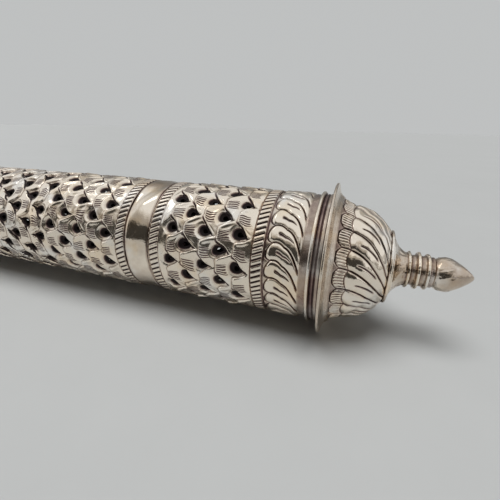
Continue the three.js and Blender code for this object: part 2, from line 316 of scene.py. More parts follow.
def half_turned(surface):
    """The same surface for the left half: turned half round the vertical line through the middle."""
    return Surface(surface.points * [-1, -1, 1], surface.faces, surface.recess, surface.ornament)


def round_tube(along, angle, radius):
    """Points round the tube's axis, a from the top towards -Y: x along, y = -r sin a, z = h + r cos a."""
    along, angle, radius = np.broadcast_arrays(along, angle, radius)
    return np.stack([along, -radius * np.sin(angle), AXIS_HEIGHT + radius * np.cos(angle)], axis=-1)


def angles_round(columns):
    """Angles of as many columns, evenly spaced round the tube."""
    return np.linspace(0, TURN, columns, endpoint=False)


def grid_faces(rows, columns, rows_close=False, columns_close=True, copies=1):
    """Quads between neighbouring points of a grid, where the last row or column may meet the first again.

    copies is the number of such grids, whose points follow one another.
    """
    row = np.arange(rows if rows_close else rows - 1)[:, None]
    column = np.arange(columns if columns_close else columns - 1)[None, :]
    next_row, next_column = (row + 1) % rows, (column + 1) % columns
    corners = [(row, column), (row, next_column), (next_row, next_column), (next_row, column)]
    quads = np.stack([i * columns + j for i, j in corners], axis=-1).reshape(-1, 4)
    return quads[None] + np.arange(copies)[:, None, None] * rows * columns


def unevenness(along, angle, size, seed=3):
    """Waves of handwork: a third of the sum of nine sines, each with whole waves round and a length."""
    choose = np.random.default_rng(seed)
    total = 0.0
    for _ in range(9):
        waves = choose.integers(1, 7)
        length = choose.uniform(9, 34) * MM
        total = total + np.sin(waves * angle + TURN * along / length + choose.uniform(0, TURN))
    return size * total / 3


# Nearer the axis than this, a turned piece has no dents, so that its stud and tip stay round.
DENT_RADIUS = BEZEL_RADIUS / 4


def turned(section, recess, columns, dents=0.0, fineness=1):
    """A closed section of (along, radius) points turned round the axis.

    dents is the height of smooth waves in its skin, which are shorter where fineness is greater.
    """
    along, radius = np.array(section, float).T[:, :, None]
    angle = angles_round(columns)
    wave = unevenness(along * fineness, angle * fineness, dents)
    points = round_tube(along, angle, radius + wave * (radius > DENT_RADIUS))
    return Surface(points, grid_faces(len(section), columns, rows_close=True), np.array(recess)[:, None])


def beside(place, offsets):
    """Section points at offsets along and outwards from a place, given in millimetres."""
    along, radius = place
    return [(along + x * MM, radius + y * MM) for x, y in offsets]


def curve(corners, steps):
    """A smooth line through some points, as Catmull-Rom pieces of that many steps each."""
    corners = np.array(corners, float)
    before, after = 2 * corners[0] - corners[1], 2 * corners[-1] - corners[-2]
    through = np.concatenate([[before], corners, [after]])
    a, b, c, d = (through[i : i + len(corners) - 1, None] for i in range(4))
    t = np.linspace(0, 1, steps, endpoint=False)[None, :, None]
    pieces = 0.5 * (2 * b + (c - a) * t + (2 * a - 5 * b + 4 * c - d) * t**2 + (3 * b - a - 3 * c + d) * t**3)
    return np.concatenate([pieces.reshape(-1, 2), corners[-1:]])


def half_circle(centre, radius, steps=8):
    """Points of a half circle outwards over a centre, from its -X side to its +X side."""
    angle = np.linspace(math.pi, 0, steps + 1)
    return np.stack([centre[0] + radius * np.cos(angle), centre[1] + radius * np.sin(angle)], axis=-1)


def welded(surface):
    """Points that share a place become one, and a face that this leaves with three corners is a triangle."""
    places = np.round(surface.points / (MM / 1000)).astype(np.int64)
    _, first, same = np.unique(places, axis=0, return_index=True, return_inverse=True)
    corners = same.reshape(-1)[surface.faces]
    kept = corners != np.roll(corners, 1, axis=1)
    kept[kept.sum(axis=1) < 3] = False
    return first, corners[kept], kept


def enclosed(surface):
    """Six times the volume inside a surface, negative where its faces point inwards."""
    a, b, c, d = (surface.points[surface.faces[:, i]] for i in range(4))
    return np.sum(a * np.cross(b, c)) + np.sum(a * np.cross(c, d))


def backwards(starts, counts):
    """An order of the faces' corners in which each face runs the other way."""
    face = np.repeat(np.arange(len(counts)), counts)
    step = np.arange(counts.sum()) - starts[face]
    return starts[face] + counts[face] - 1 - step


def finish_piece(node, surface, material, slot):
    """Puts a surface into the scene in place of a CAD node, with its faces outwards, on the node's body."""
    first, corners, kept = welded(surface)
    counts = kept.sum(axis=1)
    counts = counts[counts > 0]
    starts = np.concatenate([[0], np.cumsum(counts)[:-1]])
    source = surface.faces[kept]
    if enclosed(surface) < 0:
        turn = backwards(starts, counts)
        corners, source = corners[turn], source[turn]
    mesh = bpy.data.meshes.new("finished_" + node)
    mesh.vertices.add(len(first))
    mesh.vertices.foreach_set("co", surface.points[first].astype(np.float32).ravel())
    mesh.loops.add(len(corners))
    mesh.loops.foreach_set("vertex_index", corners.astype(np.int32))
    mesh.polygons.add(len(counts))
    mesh.polygons.foreach_set("loop_start", starts.astype(np.int32))
    mesh.update(calc_edges=True)
    recess = mesh.attributes.new(RECESS, "FLOAT", "POINT")
    recess.data.foreach_set("value", surface.recess[first].astype(np.float32))
    if surface.ornament is not None:
        layer = mesh.uv_layers.new(name=ORNAMENT)
        layer.uv.foreach_set("vector", surface.ornament[source].astype(np.float32).ravel())
    if mesh.validate():
        raise RuntimeError(node + ": its finished mesh has faces that Blender can't use")
    mesh.shade_smooth()
    mesh.set_sharp_from_angle(angle=math.radians(55))
    mesh.materials.append(material)
    piece = bpy.data.objects.new("finished_" + node, mesh)
    bpy.context.scene.collection.objects.link(piece)
    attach(piece, frame["nodes"][node]["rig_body"])
    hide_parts(node)


def finish_pair(node, surface, material, slot):
    """The right-hand piece and its left-hand twin."""
    finish_piece(node + "_right", surface, material, slot)
    finish_piece(node + "_left", half_turned(surface), material, slot)


def line_depth(distance, width):
    """A chased line's depth from 0 to 1: a bell curve over the distance from its middle."""
    return np.exp(-((distance / width) ** 2))


def deepest(*depths):
    """The largest of several depths, place by place."""
    return np.max(np.broadcast_arrays(*depths), axis=0)


# Pierced sleeves.


class ScaleSheet:
    """The sheet of a pierced sleeve before it is wrapped round the tube, with places (along, around).

    Rows of holes count outwards from the middle row, or from the sleeve's own first row. The scales of the
    middle sleeve lie towards both ends, from a seam just past its middle row.
    """

    # The share of their height that the scales towards -X have, as they are chased more flatly.
    flat_share = 0.55
    # From an end, the relief and the hand's drift grow to their full size over these lengths.
    relief_fade = 0.8 * MM
    drift_fade = 4 * MM
    # How far the ornament strays, in rows and in scales, and the two waves in the skin.
    stray = (0.05, 0.03)
    wave = 0.06 * MM
    fine_wave = 0.07 * MM

    def __init__(self, start, end, row_count, sizes):
        both_ways = start < 0
        self.start, self.end, self.sizes = start, end, sizes
        self.rows = np.linspace(start + sizes.margin, end - sizes.margin, row_count)
        self.pitch = self.rows[1] - self.rows[0]
        self.half_scale = TURN / sizes.around * TUBE_RADIUS / 2
        self.seam = self.pitch / 2 if both_ways else start
        self.first = self.pitch if both_ways else self.rows[0]
        # The middle sleeve's first row past the seam is its row 1, which is odd.
        self.parity = 0.5 if both_ways else 0
        self.numbers = np.round(np.abs(self.rows - self.first + self.parity * 2 * self.pitch) / self.pitch)

    def from_end(self, along):
        return lesser(along - self.start, self.end - along)

    def ornament_at(self, place):
        """The row of holes and the scale round the tube at each place, as scale_places counts them."""
        along, around = np.moveaxis(place, -1, 0)
        outward = along > self.seam
        row = np.where(outward, (along - self.first) / self.pitch, -along / self.pitch)
        waves = along * 2, around / TUBE_RADIUS * 2
        row = row + unevenness(*waves, self.stray[0], seed=14)
        scale = around / (2 * self.half_scale) + unevenness(*waves, self.stray[1], seed=17)
        return np.stack([row, np.where(outward, scale + self.parity, -scale)], axis=-1)

    def outer_radius(self, place, height, in_front, gap):
        """The outer skin: the scales' height, less the dip round a hole, which is as deep as it is near."""
        along, angle = place[..., 0], place[..., 1] / TUBE_RADIUS
        inside = smooth(self.from_end(along), 0, self.relief_fade)
        height = height * np.where(along > self.seam, 1, self.flat_share)
        dip = self.sizes.sink * smooth(gap, self.sizes.sink_reach, 0) * in_front
        fine_waves = unevenness(along * 4, angle * 3, self.fine_wave, seed=4)
        return TUBE_RADIUS + (height - dip + fine_waves) * inside + unevenness(along, angle, self.wave)

    def points(self, place, radius):
        """Places at a radius on the tube, where the hand's drift has moved them."""
        along, around = np.moveaxis(place, -1, 0)
        angle = around / TUBE_RADIUS
        inside = smooth(self.from_end(along), 0, self.drift_fade)
        drift, turn = (inside * unevenness(along, angle, self.sizes.drift, seed=seed) for seed in (5, 8))
        return round_tube(along + drift, (around + turn) / TUBE_RADIUS, radius)


def scale_relief(pattern, pitch, sizes):
    """Height of overlapping scales, how open a place is to the next hole, and the tarnish it holds.

    Each scale is steep behind its outline, falls evenly to the next outline and is crowned across. Its
    steeper side has a raised lip. A hole opens some way behind the outline in front of it. Tarnish stays in
    front of each outline, where the scale above shelters it.
    """
    row, scale = np.moveaxis(pattern, -1, 0)
    (even, even_aside, even_slope), (odd, odd_aside, odd_slope) = scale_places(row, scale)
    on_even = even < odd
    behind, ahead = np.minimum(even, odd), np.minimum(2 - even, 2 - odd)
    aside = np.where(on_even, even_aside, odd_aside)
    slope = np.where(on_even, even_slope, odd_slope)
    # In both kinds of sleeve a row is about this many times as long as half a scale is wide.
    row_to_half = 1.1
    from_edge = behind * pitch / np.sqrt(1 + (row_to_half * slope) ** 2)
    fall = sizes.rise * ahead / (ahead + behind) * smooth(behind * pitch, -0.1 * MM, 0.55 * MM)
    lip = sizes.lip * line_depth(from_edge - 0.8 * MM, 0.9 * MM) * smooth(aside, 0, -0.5)
    height = fall + lip + sizes.crown * (0.5 - aside**2) - 0.4 * sizes.rise
    in_front = smooth(behind * pitch, 0.5 * MM, 2 * MM)
    sheltered = 0.3 * smooth(ahead * pitch, 1.1 * MM, 0) * smooth(row, -0.5, FIRST_OUTLINE[1])
    return height * smooth(row, *FIRST_OUTLINE), in_front, sheltered


def hole_outlines(way, length, width, columns):
    """Drop-shaped holes round their centres: x = l/2 cos t, y = w/2 sin t |sin(t/2)|, pointed where t is 0.

    way is 1 for a tail towards +X and -1 for one towards -X.
    """
    t = angles_round(columns)
    swing = np.where(way[:, None] > 0, np.abs(np.sin(t / 2)), np.abs(np.cos(t / 2)))
    x = np.broadcast_to(length / 2 * np.cos(t), swing.shape)
    return np.stack([x, width / 2 * np.sin(t) * swing], axis=-1)


def cut_by_hand(holes):
    """Each hole a little off its mark, a little larger or smaller and a little turned."""
    choose = np.random.default_rng(11)
    slant = choose.normal(0.14, 0.1, (len(holes), 1))
    larger = choose.normal(1, 0.05, (len(holes), 1, 1))
    off = choose.normal(0, 0.12 * MM, (len(holes), 1, 2))
    x, y = holes[..., 0], holes[..., 1]
    return np.stack([x - slant * y, y + slant * x], axis=-1) * larger + off


def diamonds(before, after, half, columns):
    """Points round diamonds, an equal number on each side, from the +X corner towards +angle."""
    part = np.linspace(0, 1, columns // 4, endpoint=False)[:, None]
    zero, side = np.zeros_like(before), np.full_like(before, half)
    tips = ((after, zero), (zero, side), (before, zero), (zero, -side))
    corners = [np.stack(tip, axis=-1) for tip in tips]
    sides = [corners[i][:, None] * (1 - part) + corners[(i + 1) % 4][:, None] * part for i in range(4)]
    return np.concatenate(sides, axis=1)


# How much a hole narrows through the sheet, and how much of the dip round it shows inside.
HOLE_TAPER = 0.6
DIP_INSIDE = 0.6
# Painted shade, with some tarnish, on a hole's wall and on the sheet's inside, and a little less on the
# wall's first ring below the edge. The wall's value lies past the black end of the colours, so that noise
# doesn't lighten the shade inside the tube.
WALL_SHADE_AND_TARNISH = 1.3
EDGE_SHADE_AND_TARNISH = 0.85


def hole_cells(sheet, tube, columns, rings):
    """A diamond of sheet round each hole.

    Each is a grid: its rings run from its border to the hole's edge on the outside, down the hole's wall,
    and back to the border on the inside, which is plain but for the dip.
    """
    sizes, rows = sheet.sizes, sheet.rows
    along, number = np.repeat(rows, sizes.around), np.repeat(sheet.numbers, sizes.around)
    around = (np.tile(np.arange(sizes.around), len(rows)) + (number % 2) / 2) * 2 * sheet.half_scale
    before = np.repeat(np.concatenate([[sheet.start], rows[:-1]]), sizes.around) - along
    after = np.repeat(np.concatenate([rows[1:], [sheet.end]]), sizes.around) - along
    border = diamonds(before, after, sheet.half_scale, columns)
    way = np.where(along > sheet.seam, 1, -1)
    hole = hole_outlines(way, sizes.hole_length, sizes.hole_width, columns)
    cut = cut_by_hand(hole)

    # The outside follows the hole as it is cut, and its ornament the hole as it is planned.
    centre = np.stack([along, around], axis=-1)[:, None, None]
    share = np.linspace(0, 1, rings + 1)[:, None, None] ** 0.8
    planned, placed = (centre + border[:, None] + (edge - border)[:, None] * share for edge in (hole, cut))
    gap = np.linalg.norm(planned - centre - hole[:, None], axis=-1)
    pattern = sheet.ornament_at(planned)
    height, in_front, sheltered = scale_relief(pattern, sheet.pitch, sizes)
    outer = sheet.outer_radius(placed, height, in_front, gap)

    inner_radius = TUBE_RADIUS - tube.sheet
    bottom = inner_radius - DIP_INSIDE * sizes.sink
    wall, back = np.array([0.35, 0.7, 1.0])[:, None], np.array([0.5, 0.0])[:, None]
    wall_place = centre + cut[:, None] * (1 - HOLE_TAPER * wall[..., None] ** 2)
    wall_radius = outer[:, -1:] * (1 - wall) + bottom * wall
    back_place = centre + border[:, None] + (cut * (1 - HOLE_TAPER) - border)[:, None] * back[..., None]
    back_radius = np.broadcast_to(inner_radius + (bottom - inner_radius) * back**2, back_place.shape[:-1])

    hidden_place = np.concatenate([wall_place, back_place], axis=1)
    place = np.concatenate([placed, hidden_place], axis=1)
    radius = np.concatenate([outer, wall_radius, back_radius], axis=1)
    # Hole walls and the sheet's inside: painted shade with some tarnish.
    recess = np.full(radius.shape, WALL_SHADE_AND_TARNISH)
    recess[:, rings + 1] = EDGE_SHADE_AND_TARNISH
    # The outside: painted shade, with some tarnish, that grows towards a hole on the side where the sheet
    # dips in round it, plus tarnish in front of each outline.
    recess[:, : rings + 1] = 0.28 * smooth(gap, 1.2 * MM, 0) * in_front + sheltered
    faces = grid_faces(radius.shape[1], columns, copies=len(along))
    pattern = np.concatenate([pattern, sheet.ornament_at(hidden_place)], axis=1)
    return Surface(sheet.points(place, radius), faces, recess, pattern)


def end_triangles(sheet, tube, end, row, number, steps, order):
    """Triangles between the holes next to an end, which fill up to it: their outside, inside and edge."""
    around = sheet.sizes.around
    middle = (np.arange(around) + 0.5 + (number % 2) / 2) * 2 * sheet.half_scale
    down = np.linspace(0, 1, steps)[:, None]
    across = np.linspace(-1, 1, steps)[None, :]
    aside = middle[:, None, None] + sheet.half_scale * down * across
    place = np.stack(np.broadcast_arrays(row + (end - row) * down, aside), axis=-1)
    pattern = sheet.ornament_at(place)
    height, in_front, sheltered = scale_relief(pattern, sheet.pitch, sheet.sizes)
    # No hole is near enough for its dip to reach here.
    front = sheet.points(place, sheet.outer_radius(place, height, in_front, sheet.sizes.sink_reach))
    rear = sheet.points(place, TUBE_RADIUS - tube.sheet)
    edge = np.stack([front[:, -1], rear[:, -1]], axis=1)
    edge_pattern = np.stack([pattern[:, -1], pattern[:, -1]], axis=1)
    faces = grid_faces(steps, steps, columns_close=False, copies=around)
    edge_faces = grid_faces(2, steps, columns_close=False, copies=around)
    return [
        Surface(front, faces[..., ::order], sheltered, pattern),
        # The inside and the edge: painted shade with some tarnish, at recess 1.
        Surface(rear, faces[..., ::-order], 1.0, pattern),
        Surface(edge, edge_faces[..., ::order], 1.0, edge_pattern),
    ]


def pierced_sleeve(sheet, tube, columns, rings):
    """A diamond of sheet round each hole and triangles up to both ends, wrapped round the tube."""
    parts = [hole_cells(sheet, tube, columns, rings)]
    steps = columns // 4 + 1
    for end, last, order in ((sheet.start, 0, 1), (sheet.end, -1, -1)):
        parts += end_triangles(sheet, tube, end, sheet.rows[last], sheet.numbers[last], steps, order)
    return together(parts)


# Bands and borders.

# Recess of a ring's plain parts: its inside, and the rebate under a border.
PLAIN_RECESS = 0.65
# The angle of the first leaf's side, in leaves.
BAND_PHASE = 0.3
DOME_PHASE = 0.2
# The dome's outline: shares of its length, and of the way from its top's radius to its own.
DOME_SHARES = [(0, 1), (0.12, 0.9), (0.3, 0.8), (0.6, 0.62), (0.84, 0.34), (1, 0)]


def relief_ring(along, heights, radius, inner_radius, recess, before=()):
    """A ring whose skin is a grid of heights over a radius. before holds plain section points ahead."""
    columns = heights.shape[1]
    before = np.reshape(before, (-1, 2))
    start = before[0, 0] if len(before) else along[0]
    back = np.array([(along[-1], inner_radius), (start, inner_radius)])
    section = np.concatenate([before[:, 0], along, back[:, 0]])[:, None]
    front_reach, back_reach = (np.repeat(rows[:, 1:], columns, axis=1) for rows in (before, back))
    reach = np.concatenate([front_reach, radius + heights, back_reach])
    dirt = np.full(reach.shape, PLAIN_RECESS)
    dirt[len(before) : -len(back)] = recess
    points = round_tube(section, angles_round(columns), reach)
    return Surface(points, grid_faces(len(section), columns, rows_close=True), dirt)


def border_surface(start, end, tube):
    """A milled strip: slanting ridges between plain edges, with a groove from one stroke to the next."""
    inner = TUBE_RADIUS - tube.rebate_depth + tube.strip_clearance
    along = np.linspace(start, end, 23)[:, None]
    angle = angles_round(tube.hatch_strokes * 10)[None, :]
    share = (along - start) / (end - start)
    wobble = unevenness(along, angle, 0.006, seed=21)
    stroke = ((angle - tube.hatch_slant * share + wobble) / TURN * tube.hatch_strokes) % 1
    ridge = np.sin(np.pi * stroke) ** 0.45
    edge = np.minimum(share, 1 - share) * (end - start)
    inside = smooth(edge, 0.35 * MM, 0.6 * MM)
    edge_line = line_depth(edge - 0.25 * MM, 0.2 * MM)
    height = 0.1 * MM * inside - 0.55 * MM * np.maximum((1 - ridge) * inside, 0.8 * edge_line)
    recess = np.maximum(1.2 * smooth(ridge, 0.88, 0.6) * inside, 0.6 * edge_line)
    return relief_ring(along[:, 0], height, inner + tube.strip, inner, recess)


def across_leaves(turned_back, gain, radius, step, phase):
    """Places in a row of leaves: across one from 0 to 1, aside of its middle, from its side, and its width.

    turned_back is the angle less the leaves' swirl, and gain is the swirl's growth with the way along a
    leaf. The last two are lengths square to the leaf's own line.
    """
    place = (turned_back / step - phase) % 1
    width = step * radius / np.sqrt(1 + (gain * radius) ** 2)
    return place, np.abs(2 * place - 1), np.minimum(place, 1 - place) * width, width


def leaf_band_surface(sizes, tube):
    """A ring of leaves: a lobe at the head of each, sides that swirl at the mouth's end, and a curl inside.

    The swirl is a leaf's turn times the share of its swirling part, to the power 3.
    """
    land = LEAF_START + tube.rebate_width
    swirl_start, leaf_end = 2.5 * MM, 10.3 * MM
    swirl_length = leaf_end - swirl_start
    along = np.linspace(land, LEAF_END, 72)[:, None]
    angle = angles_round(sizes.band_leaves * 30)[None, :]
    step = TURN / sizes.band_leaves
    depth = along - land
    bend = np.clip((depth - swirl_start) / swirl_length, 0, 1.15)
    bulge = 0.05 * np.sin(np.pi * np.clip(depth / (5.5 * MM), 0, 1))
    swirl = sizes.band_turn * bend**3 - bulge - unevenness(along, angle, 0.008, seed=31)
    gain = 3 * sizes.band_turn * bend**2 / swirl_length
    place, aside, to_side, _ = across_leaves(angle - swirl, gain, TUBE_RADIUS, step, BAND_PHASE)

    lobe = 0.12 * MM + 1.6 * MM * aside**2.4
    inside = between(depth, lobe - 0.1 * MM, lobe + 0.3 * MM, leaf_end - 0.2 * MM, leaf_end + 0.4 * MM)
    side = line_depth(to_side, sizes.groove_width) * inside
    head = line_depth(depth - lobe, sizes.groove_width)
    foot = line_depth(depth - leaf_end - 0.25 * MM, 0.2 * MM) * 0.4
    # The curl is a comma: broad where it starts, and bent aside as it thins out.
    curl_start, curl_length = 3.1 * MM, 5.4 * MM
    curled = np.clip((depth - curl_start) / curl_length, 0, 1)
    from_curl = (place - 0.52 + 0.22 * curled**1.7) * step * TUBE_RADIUS
    curl = line_depth(from_curl, (0.5 - 0.36 * curled) * MM) * between(curled, 0, 0.12, 0.8, 1)
    cut = deepest(side, head, curl, foot)

    leaf = between(depth, lobe, lobe + 1.2 * MM, leaf_end - 1 * MM, leaf_end + 0.4 * MM)
    swell = sizes.swell * leaf * (1 - aside**4) + 0.12 * MM * leaf * (1 - place)
    waves = unevenness(along * 3, angle * 3, 0.05 * MM, seed=32)
    height = swell - sizes.groove * cut - 0.05 * MM + waves
    plain_end = 0.5 * smooth(depth, leaf_end - 0.2 * MM, leaf_end + 0.5 * MM)
    outside_lobe = 0.3 * smooth(depth, lobe + 0.1 * MM, lobe - 0.3 * MM)
    recess = np.clip(deepest(cut * 1.05, plain_end, outside_lobe, 0.35 * aside**6 * leaf), 0, 1)
    rebate = TUBE_RADIUS - tube.rebate_depth
    before = [(LEAF_START, rebate), (land, rebate)]
    return relief_ring(along[:, 0], height, TUBE_RADIUS, TUBE_RADIUS - tube.sheet, recess, before)


def dome_leaves(up, up_end, along, angle, radius, sizes):
    """Height and recess of a dome's leaves, each with a ruled head, a cross line and a curl.

    up is the length of the dome's outline from its foot. The swirl is a leaf's turn times the share of the
    way up, to the power 2.6.
    """
    swirl_length, power = 17 * MM, 2.6
    step = TURN / sizes.dome_leaves
    share = np.clip(up / swirl_length, 0, 1.1)
    swirl = sizes.dome_turn * share**power - unevenness(along, angle, 0.012, seed=41)
    gain = sizes.dome_turn * power * share ** (power - 1) / swirl_length
    place, aside, to_side, width = across_leaves(angle - swirl, gain, radius, step, DOME_PHASE)

    lobe = 0.1 * MM + 1.7 * MM * aside**2.4
    side = line_depth(to_side, sizes.groove_width) * smooth(up, lobe - 0.1 * MM, lobe + 0.3 * MM)
    head = line_depth(up - lobe, 0.2 * MM)
    cross_at = 3.7 * MM + 0.9 * MM * aside**2.2
    cross = line_depth(up - cross_at, 0.16 * MM) * 0.75
    strokes = 7
    stroke = (place * strokes) % 1
    ruled = line_depth(np.minimum(stroke, 1 - stroke) * step * radius / strokes, 0.13 * MM) * 0.8
    ruled = ruled * between(up, lobe + 0.2 * MM, lobe + 0.5 * MM, cross_at - 0.3 * MM, cross_at)
    curl_start, curl_length = 6.3 * MM, 7 * MM
    curled = np.clip((up - curl_start) / curl_length, 0, 1)
    from_curl = (place - 0.62 + 0.34 * curled**0.8) * width
    curl = line_depth(from_curl, (0.17 + 0.1 * curled) * MM) * between(curled, 0, 0.15, 0.8, 1)
    cut = deepest(side, head, cross, ruled, curl)

    ruled_head = 0.5 * between(up, lobe, lobe + 0.5 * MM, cross_at - 0.5 * MM, cross_at)
    leaf = smooth(up, cross_at, cross_at + 1.5 * MM) + ruled_head
    waves = unevenness(along * 3, angle * 3, 0.12 * MM, seed=42)
    height = 1.3 * sizes.swell * leaf * (1 - aside**4) - 1.1 * sizes.groove * cut + waves
    height = height * radius / DOME_RADIUS * (1 - smooth(up, up_end - 0.6 * MM, up_end)) - 0.05 * MM
    foot, top = 0.5 * smooth(up, lobe, lobe - 0.6 * MM), 0.8 * smooth(up, up_end - 1.2 * MM, up_end)
    return height, np.clip(deepest(cut * 1.15, foot, top, 0.3 * aside**4 * leaf), 0, 1)


def dome_outline(length, top_radius, steps):
    """The dome's outline from foot to top as a smooth curve."""
    drop = DOME_RADIUS - TOP_RADIUS
    return curve([(DOME_START + x * length, top_radius + r * drop) for x, r in DOME_SHARES], steps)


def dome_surface(sizes, tube):
    """A dome: its outline turned round the axis, with the leaves' height square to it, and plain inside."""
    length = DOME_END - DOME_START
    outline = dome_outline(length, TOP_RADIUS, 40)
    walked = np.concatenate([[0], np.cumsum(np.linalg.norm(np.diff(outline, axis=0), axis=1))])
    up = np.linspace(0, walked[-1], 100)
    along, radius = (np.interp(up, walked, part) for part in outline.T)
    slope = np.gradient(radius, up)[:, None]
    up, along, radius = up[:, None], along[:, None], radius[:, None]
    angle = angles_round(sizes.dome_leaves * 28)[None, :]
    height, recess = dome_leaves(up, walked[-1], along, angle, radius, sizes)
    outwards = np.sqrt(1 - np.clip(slope, -1, 1) ** 2)
    outer = round_tube(along - slope * height, angle, radius + outwards * height)
    inner_end, inner_top = DOME_END - tube.sheet, TOP_RADIUS - tube.sheet
    back = dome_outline(length - tube.sheet, inner_top, 3)[::-1]
    inside = np.array([(DOME_END, STUD_HOLE), (inner_end, STUD_HOLE), (inner_end, inner_top), *back[1:]])
    inner = round_tube(inside[:, :1], angle, inside[:, 1:])
    points = np.concatenate([outer, inner])
    dirt = np.concatenate([recess, np.full(inner.shape[:-1], 0.85)])
    return Surface(points, grid_faces(len(points), points.shape[1], rows_close=True), dirt)


# Shader maths.


class Socket:
    """An output socket, so that shader maths reads as an expression on values."""

    def __init__(self, tree, socket):
        self.tree = tree
        self.socket = socket

    def maths(self, operation, *values):
        return self.tree.node("ShaderNodeMath", {"operation": operation}, dict(enumerate(values)))

    def __add__(self, other):
        return self.maths("ADD", self, other)

    def __radd__(self, other):
        return self.maths("ADD", other, self)

    def __sub__(self, other):
        return self.maths("SUBTRACT", self, other)

    def __rsub__(self, other):
        return self.maths("SUBTRACT", other, self)

    def __mul__(self, other):
        return self.maths("MULTIPLY", self, other)

    def __rmul__(self, other):
        return self.maths("MULTIPLY", other, self)

    def __truediv__(self, other):
        return self.maths("DIVIDE", self, other)

    def __rtruediv__(self, other):
        return self.maths("DIVIDE", other, self)

    def __mod__(self, other):
        return self.maths("FLOORED_MODULO", self, other)

    def __pow__(self, other):
        return self.maths("POWER", self, other)

    def __abs__(self):
        return self.maths("ABSOLUTE", self)


class Tree:
    """The nodes of a material or of the world."""

    def __init__(self, owner):
        owner.use_nodes = True
        self.tree = owner.node_tree
        self.tree.nodes.clear()

    def node(self, kind, settings=None, sockets=None, output=0):
        """Makes a node of that type with its settings and sockets' values or links. Gives an output."""
        made = self.tree.nodes.new(kind)
        for name, value in (settings or {}).items():
            if name == "stops":
                self.set_stops(made.color_ramp, value)
            else:
                setattr(made, name, value)
        for name, value in (sockets or {}).items():
            if isinstance(value, Socket):
                self.tree.links.new(value.socket, made.inputs[name])
            else:
                made.inputs[name].default_value = value
        return Socket(self, made.outputs[output]) if made.outputs else None

    @staticmethod
    def set_stops(ramp, stops):
        while len(ramp.elements) > 1:
            ramp.elements.remove(ramp.elements[-1])
        for i, (position, colour) in enumerate(stops):
            element = ramp.elements[0] if i == 0 else ramp.elements.new(position)
            element.position = position
            element.color = (*colour, 1)

    def parts(self, vector):
        """The X, Y and Z of a vector."""
        x = self.node("ShaderNodeSeparateXYZ", {}, {"Vector": vector})
        return [Socket(self, output) for output in x.socket.node.outputs]

    def noise(self, place, scale, detail=3.0, roughness=0.55):
        """Noise from 0 to 1 with so many waves to the metre."""
        sockets = {"Vector": place, "Scale": scale, "Detail": detail, "Roughness": roughness}
        return self.node("ShaderNodeTexNoise", {}, sockets, "Fac")

    def mix(self, factor, first, second, blend="MIX"):
        """The first colour turned into the second by a factor, or blended with it."""
        colours = {"Factor": factor, "A": first, "B": second}
        return self.node("ShaderNodeMix", {"data_type": "RGBA", "blend_type": blend}, colours, "Result")

    def shade(self, sockets):
        """The material's shader, with these values and links in its sockets."""
        shader = self.node("ShaderNodeBsdfPrincipled", {}, sockets)
        self.node("ShaderNodeOutputMaterial", {}, {"Surface": shader})


def chased_silver(
    name, colours, tarnish, dullness=0.0, dents=0.05 * MM, patches=0.42, lathe=0.0, engraving=None
):
    """Worn silver, bright where it is rubbed and darker with its recess, with fine scratches.

    tarnish is added all over, dullness is added to the roughness, dents is the height of the fine dents, and
    patches is how much the tarnish varies from place to place. lathe is the depth of fine lines round the
    axis. engraving is a function of the tree that gives 0 to 1, for lines cut after the shape is made.
    """
    material = bpy.data.materials.new(name)
    tree = Tree(material)
    place = tree.node("ShaderNodeTexCoord", output="Object")
    recess = tree.node("ShaderNodeAttribute", {"attribute_name": RECESS}, output="Fac")
    clouds = tree.noise(place, 55, 4)
    specks = tree.noise(place, 900, 3, 0.7)
    worn = tree.noise(place, 210, 4, 0.6)
    stain = recess + (worn - 0.5) * 0.5 * smooth(recess, 0.02, 0.4)
    stain = stain + tarnish + (clouds - 0.5) * patches + (specks - 0.5) * 0.18
    stretch = tree.node("ShaderNodeMapping", {}, {"Vector": place, "Scale": (0.25, 1, 1)})
    scratches = tree.noise(stretch, 2600, 2, 0.6)
    height = (tree.noise(place, 330, 3) + tree.noise(place, 800, 2)) * dents + scratches * 0.004 * MM
    if lathe:
        along, across, up = tree.parts(place)
        out = (across * across + (up - AXIS_HEIGHT) * (up - AXIS_HEIGHT)) ** 0.5
        rings = tree.node("ShaderNodeCombineXYZ", {}, {"X": along, "Y": out, "Z": clouds * 0.002})
        lines = tree.noise(rings, 2200, 3, 0.7)
        height = height + lines * lathe
        stain = stain + (lines - 0.5) * lathe * 12 / MM
    if engraving:
        cut = engraving(tree)
        stain = greater(stain, cut * 0.95)
        height = height - cut * 0.09 * MM
    stain = lesser(greater(stain, 0), 1)
    stops = [(0, colours.bright), (0.3, colours.warm), (0.62, colours.brown), (1, colours.black)]
    colour = tree.node("ShaderNodeValToRGB", {"stops": stops}, {"Fac": stain}, "Color")
    fresh = smooth(tree.noise(place, 90, 3), 0.5, 0.68) * (1 - stain) * 0.7
    colour = tree.mix(fresh, colour, (*colours.cool, 1))
    golden = smooth(tree.noise(place, 120, 3), 0.5, 0.7) * 0.5
    colour = tree.mix(golden, colour, (*colours.straw, 1), "MULTIPLY")
    rough = colours.polish + dullness + (colours.dullness - colours.polish) * stain + (scratches - 0.5) * 0.08
    bump = tree.node("ShaderNodeBump", {}, {"Height": height, "Distance": 1.0, "Strength": 1.0}, "Normal")
    tree.shade({"Base Color": colour, "Metallic": 1.0, "Roughness": rough, "Normal": bump})
    return material


